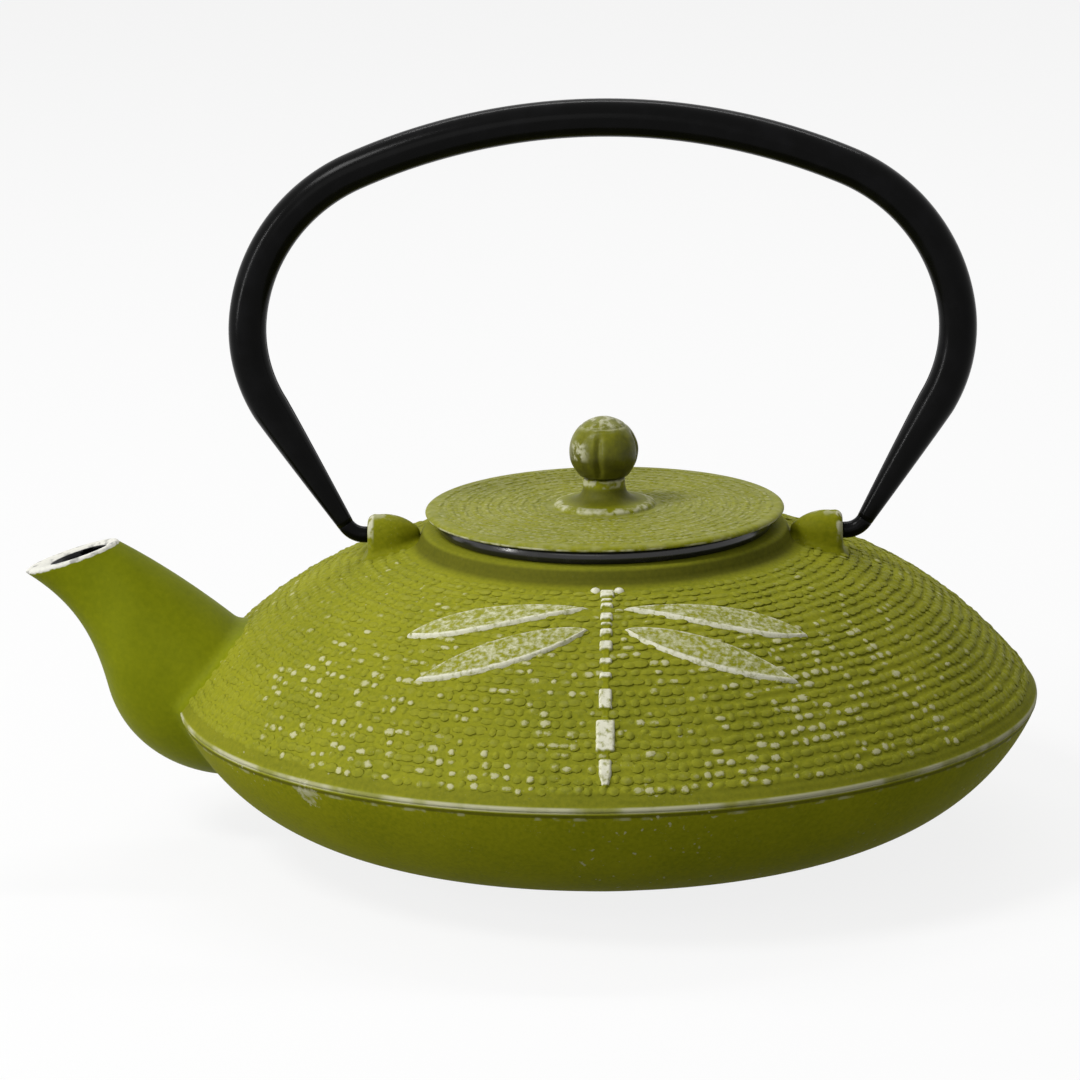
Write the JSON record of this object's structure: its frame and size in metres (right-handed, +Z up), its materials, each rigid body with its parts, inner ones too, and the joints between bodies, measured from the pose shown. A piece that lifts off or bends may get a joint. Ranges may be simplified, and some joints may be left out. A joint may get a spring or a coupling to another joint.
{
  "type": "cast iron teapot",
  "caption": "Low round cast iron teapot with a beaded shoulder, short spout, dragonfly relief, lift-off lid with ball knob, drop-in steel infuser and a swinging rolled-tube bail handle",
  "frame": {"origin": "centre of the foot ring on the surface the pot stands on, on the pot's round axis", "axes": "+X sideways through both lugs, away from the spout; the spout points to -X; +Y away from the dragonfly, which faces -Y; +Z up along the pot's round axis"},
  "size_m": [0.2093, 0.178, 0.1545],
  "materials": {
    "green_iron": "matt lime green paint over cast iron, rubbed pale on the raised edges",
    "rubbed_relief": "green paint rubbed back to a pale cream on the raised work",
    "black_enamel": "glossy black enamel lining",
    "handle_black": "satin black enamelled steel",
    "steel_sheet": "thin stainless sheet, mesh and screw"
  },
  "bodies": {
    "pot": {"pot_bowl": "green_iron", "pot_shoulder": "green_iron", "pot_enamel": "black_enamel", "spout": "green_iron", "lug_front": "green_iron", "lug_rear": "green_iron", "dragonfly_body": "rubbed_relief", "dragonfly_wings": "rubbed_relief"},
    "infuser": {"infuser_rim": "steel_sheet", "infuser_wall": "steel_sheet", "infuser_floor": "steel_sheet", "infuser_base_band": "steel_sheet"},
    "lid": {"lid_casting": "green_iron", "lid_enamel": "black_enamel", "knob": "green_iron", "knob_washer": "steel_sheet", "knob_screw": "steel_sheet"},
    "handle": {"handle_tube": "handle_black", "handle_hook_front": "handle_black", "handle_hook_rear": "handle_black"}
  },
  "joints": [
    {"name": "infuser_lift", "type": "slide", "parent": "pot", "child": "infuser", "axis": [0, 0, 1], "range_m": [0, 0.05]},
    {"name": "lid_lift", "type": "slide", "parent": "infuser", "child": "lid", "axis": [0, 0, 1], "range_m": [0, 0.05]},
    {"name": "handle_swing", "type": "hinge", "parent": "pot", "child": "handle", "pos_m": [0, 0, 0.0642], "axis": [1, 0, 0], "range_deg": [-103.3, 102.8]}
  ]
}
